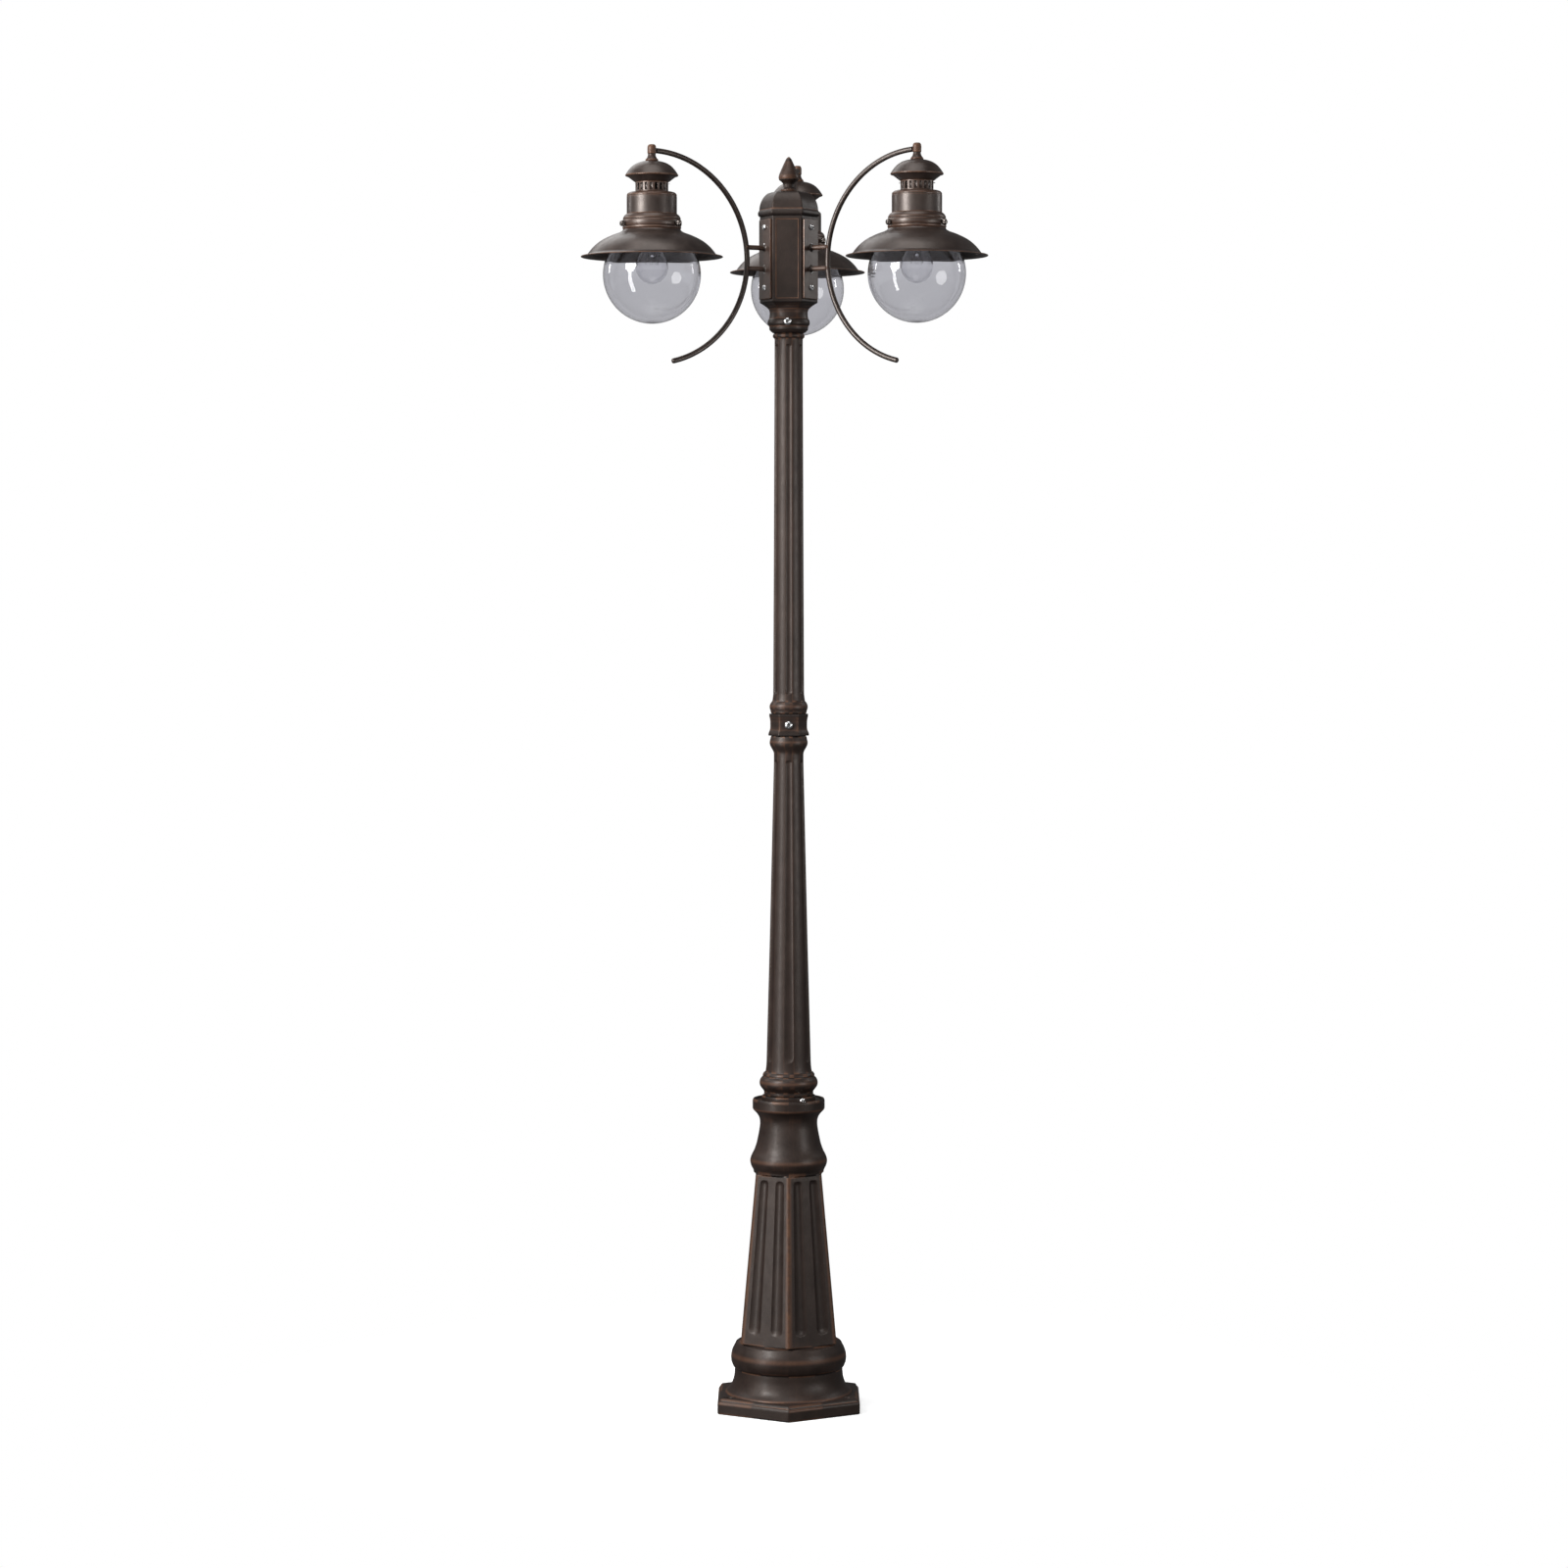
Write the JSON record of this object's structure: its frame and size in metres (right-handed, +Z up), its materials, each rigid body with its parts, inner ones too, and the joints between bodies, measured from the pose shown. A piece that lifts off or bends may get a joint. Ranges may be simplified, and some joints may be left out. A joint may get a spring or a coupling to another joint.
{
  "type": "lamp post",
  "caption": "Free-standing outdoor lamp post: hexagonal cast base, fluted sectional pole, hexagonal head and bowed arms that hold shaded clear-globe lanterns.",
  "frame": {"origin": "on the ground under the pole's axis, in the middle of the base's underside", "axes": "+Z up along the pole, -Y towards the front corner of the base, +X to the right seen from the front"},
  "size_m": [0.7458, 0.6968, 2.3595],
  "materials": {
    "cast_paint": "cast, in satin antique brown paint with rubbed copper edges",
    "sheet_paint": "satin antique brown paint with rubbed copper edges",
    "bright_steel": "bright plated",
    "clear_glass": "clear gloss",
    "dark_steel": "dark plated",
    "bulb_glass": "clear",
    "white_ceramic": null,
    "black_rubber": "matt",
    "grey_plastic": "matt"
  },
  "bodies": {
    "base": {"base_casting": "cast_paint", "cable_grommet": "black_rubber", "base_set_screw": "bright_steel", "supply_cable": "black_rubber"},
    "lower_pole": {"lower_pole": "cast_paint", "coupling_sleeve": "cast_paint", "coupling_set_screw": "bright_steel"},
    "upper_pole": {"upper_pole": "cast_paint"},
    "head": {"head_neck": "cast_paint", "head_set_screw": "bright_steel", "head_box": "cast_paint", "head_roof": "cast_paint", "finial": "cast_paint", "finial_nut": "bright_steel", "terminal_block": "grey_plastic", "arm_tube_1": "sheet_paint", "arm_plate_1": "sheet_paint", "elbow_1": "sheet_paint", "cap_1": "sheet_paint", "vent_ring_1": "sheet_paint", "housing_1": "sheet_paint", "collar_1": "sheet_paint", "shade_1": "sheet_paint", "lampholder_1": "white_ceramic", "lamp_lead_1": "grey_plastic", "arm_tube_2": "sheet_paint", "arm_plate_2": "sheet_paint", "elbow_2": "sheet_paint", "cap_2": "sheet_paint", "vent_ring_2": "sheet_paint", "housing_2": "sheet_paint", "collar_2": "sheet_paint", "shade_2": "sheet_paint", "lampholder_2": "white_ceramic", "lamp_lead_2": "grey_plastic", "arm_tube_3": "sheet_paint", "arm_plate_3": "sheet_paint", "elbow_3": "sheet_paint", "cap_3": "sheet_paint", "vent_ring_3": "sheet_paint", "housing_3": "sheet_paint", "collar_3": "sheet_paint", "shade_3": "sheet_paint", "lampholder_3": "white_ceramic", "lamp_lead_3": "grey_plastic"},
    "globe_1": {"globe_1": "clear_glass"},
    "bulb_1": {"bulb_1": "bulb_glass"},
    "thumbscrew_1a": {"thumbscrew_1a": "dark_steel"},
    "thumbscrew_1b": {"thumbscrew_1b": "dark_steel"},
    "thumbscrew_1c": {"thumbscrew_1c": "dark_steel"},
    "globe_2": {"globe_2": "clear_glass"},
    "bulb_2": {"bulb_2": "bulb_glass"},
    "thumbscrew_2a": {"thumbscrew_2a": "dark_steel"},
    "thumbscrew_2b": {"thumbscrew_2b": "dark_steel"},
    "thumbscrew_2c": {"thumbscrew_2c": "dark_steel"},
    "globe_3": {"globe_3": "clear_glass"},
    "bulb_3": {"bulb_3": "bulb_glass"},
    "thumbscrew_3a": {"thumbscrew_3a": "dark_steel"},
    "thumbscrew_3b": {"thumbscrew_3b": "dark_steel"},
    "thumbscrew_3c": {"thumbscrew_3c": "dark_steel"}
  },
  "joints": [
    {"name": "lower_pole_turn", "type": "hinge", "parent": "base", "child": "lower_pole", "pos_m": [0, 0, 0.57], "axis": [0, 0, 1], "continuous": true},
    {"name": "upper_pole_turn", "type": "hinge", "parent": "lower_pole", "child": "upper_pole", "pos_m": [0, 0, 1.25], "axis": [0, 0, 1], "continuous": true},
    {"name": "head_turn", "type": "hinge", "parent": "upper_pole", "child": "head", "pos_m": [0, 0, 2.045], "axis": [0, 0, 1], "continuous": true},
    {"name": "globe_1_lower", "type": "slide", "parent": "head", "child": "globe_1", "axis": [0, 0, -1], "range_m": [0, 0.06]},
    {"name": "bulb_1_unscrew", "type": "slide", "parent": "head", "child": "bulb_1", "axis": [0, 0, -1], "range_m": [0, 0.027]},
    {"name": "thumbscrew_1a_out", "type": "slide", "parent": "head", "child": "thumbscrew_1a", "axis": [0.061, 0.9981, 0], "range_m": [0, 0.008]},
    {"name": "thumbscrew_1b_out", "type": "slide", "parent": "head", "child": "thumbscrew_1b", "axis": [-0.8949, -0.4462, 0], "range_m": [0, 0.008]},
    {"name": "thumbscrew_1c_out", "type": "slide", "parent": "head", "child": "thumbscrew_1c", "axis": [0.8339, -0.5519, 0], "range_m": [0, 0.008]},
    {"name": "globe_2_lower", "type": "slide", "parent": "head", "child": "globe_2", "axis": [0, 0, -1], "range_m": [0, 0.06]},
    {"name": "bulb_2_unscrew", "type": "slide", "parent": "head", "child": "bulb_2", "axis": [0, 0, -1], "range_m": [0, 0.027]},
    {"name": "thumbscrew_2a_out", "type": "slide", "parent": "head", "child": "thumbscrew_2a", "axis": [-0.8949, -0.4462, 0], "range_m": [0, 0.008]},
    {"name": "thumbscrew_2b_out", "type": "slide", "parent": "head", "child": "thumbscrew_2b", "axis": [0.8339, -0.5519, 0], "range_m": [0, 0.008]},
    {"name": "thumbscrew_2c_out", "type": "slide", "parent": "head", "child": "thumbscrew_2c", "axis": [0.061, 0.9981, 0], "range_m": [0, 0.008]},
    {"name": "globe_3_lower", "type": "slide", "parent": "head", "child": "globe_3", "axis": [0, 0, -1], "range_m": [0, 0.06]},
    {"name": "bulb_3_unscrew", "type": "slide", "parent": "head", "child": "bulb_3", "axis": [0, 0, -1], "range_m": [0, 0.027]},
    {"name": "thumbscrew_3a_out", "type": "slide", "parent": "head", "child": "thumbscrew_3a", "axis": [0.8339, -0.5519, 0], "range_m": [0, 0.008]},
    {"name": "thumbscrew_3b_out", "type": "slide", "parent": "head", "child": "thumbscrew_3b", "axis": [0.061, 0.9981, 0], "range_m": [0, 0.008]},
    {"name": "thumbscrew_3c_out", "type": "slide", "parent": "head", "child": "thumbscrew_3c", "axis": [-0.8949, -0.4462, 0], "range_m": [0, 0.008]}
  ]
}
